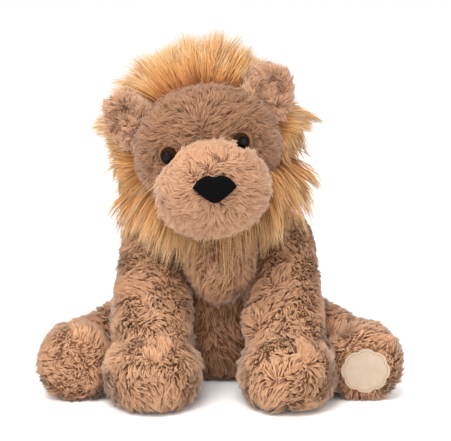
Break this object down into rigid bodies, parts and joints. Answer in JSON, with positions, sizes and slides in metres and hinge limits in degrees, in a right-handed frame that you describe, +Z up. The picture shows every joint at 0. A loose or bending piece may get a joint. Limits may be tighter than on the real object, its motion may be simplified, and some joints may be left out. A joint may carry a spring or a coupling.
{
  "type": "sitting plush lion",
  "caption": "Stuffed lion that sits on its seat with splayed hind legs, front paws on the ground, a shaggy mane round a tilted head, and soft sewn joints",
  "frame": {"origin": "on the ground at the middle of the bounding box", "axes": "+Z up; the lion faces -Y; +X is the lion's own left"},
  "size_m": [0.3084, 0.2368, 0.294],
  "materials": {
    "body_plush": "matte",
    "face_plush": "matte",
    "ear_plush": "matte",
    "mane_plush": "matte",
    "fibre": "matte",
    "pellets": "matte",
    "velvet": "matte",
    "eye_gloss": "gloss",
    "washer_plastic": "satin",
    "leatherette": "satin",
    "thread": "matte"
  },
  "bodies": {
    "torso": {"belly_panel": "body_plush", "back_panel_left": "body_plush", "back_panel_right": "body_plush", "body_stuffing": "fibre", "bean_bag": "pellets", "mane_chest": "mane_plush"},
    "neck": {"neck_skin": "body_plush", "neck_stuffing": "fibre"},
    "head": {"head_side_left": "face_plush", "head_side_right": "face_plush", "head_gusset": "face_plush", "head_back": "face_plush", "head_stuffing": "fibre", "muzzle_upper": "face_plush", "muzzle_chin": "face_plush", "muzzle_stuffing": "fibre", "nose": "velvet", "eye_left": "eye_gloss", "eye_right": "eye_gloss", "eye_washer_left": "washer_plastic", "eye_washer_right": "washer_plastic", "ear_front_left": "ear_plush", "ear_front_right": "ear_plush", "ear_back_left": "body_plush", "ear_back_right": "body_plush", "mane_front": "mane_plush", "mane_back": "mane_plush"},
    "arm_left": {"arm_skin_left": "body_plush", "paw_skin_left": "body_plush", "arm_stuffing_left": "fibre"},
    "arm_right": {"arm_skin_right": "body_plush", "paw_skin_right": "body_plush", "arm_stuffing_right": "fibre"},
    "leg_left": {"leg_skin_left": "body_plush", "foot_skin_left": "body_plush", "foot_sole_left": "body_plush", "leg_stuffing_left": "fibre", "foot_patch": "leatherette", "patch_stitching": "thread"},
    "leg_right": {"leg_skin_right": "body_plush", "foot_skin_right": "body_plush", "foot_sole_right": "body_plush", "leg_stuffing_right": "fibre"},
    "tail": {"tail_skin": "body_plush", "tail_stuffing": "fibre", "tail_tuft": "mane_plush"}
  },
  "joints": [
    {"name": "head_turn", "type": "hinge", "parent": "torso", "child": "neck", "pos_m": [0, 0.014, 0.1524], "axis": [0, 0, 1], "range_deg": [-20, 20], "stiffness_Nm_per_rad": 1},
    {"name": "head_tilt", "type": "hinge", "parent": "neck", "child": "head", "pos_m": [0, 0.014, 0.1524], "axis": [0, 1, 0], "range_deg": [-4, 16], "stiffness_Nm_per_rad": 1.5},
    {"name": "arm_lift_left", "type": "hinge", "parent": "torso", "child": "arm_left", "pos_m": [0.056, 0.006, 0.1204], "axis": [-1, 0, 0], "range_deg": [0, 25], "stiffness_Nm_per_rad": 0.4},
    {"name": "arm_lift_right", "type": "hinge", "parent": "torso", "child": "arm_right", "pos_m": [-0.056, 0.006, 0.1204], "axis": [-1, 0, 0], "range_deg": [0, 25], "stiffness_Nm_per_rad": 0.4},
    {"name": "leg_splay_left", "type": "hinge", "parent": "torso", "child": "leg_left", "pos_m": [0.052, 0.04, 0.0355], "axis": [0, 0, 1], "range_deg": [0, 25], "stiffness_Nm_per_rad": 0.4},
    {"name": "leg_splay_right", "type": "hinge", "parent": "torso", "child": "leg_right", "pos_m": [-0.052, 0.04, 0.0355], "axis": [0, 0, -1], "range_deg": [0, 25], "stiffness_Nm_per_rad": 0.4},
    {"name": "tail_swing", "type": "hinge", "parent": "torso", "child": "tail", "pos_m": [0, 0.079, 0.024], "axis": [0, 0, 1], "range_deg": [-6, 14], "stiffness_Nm_per_rad": 0.1}
  ]
}
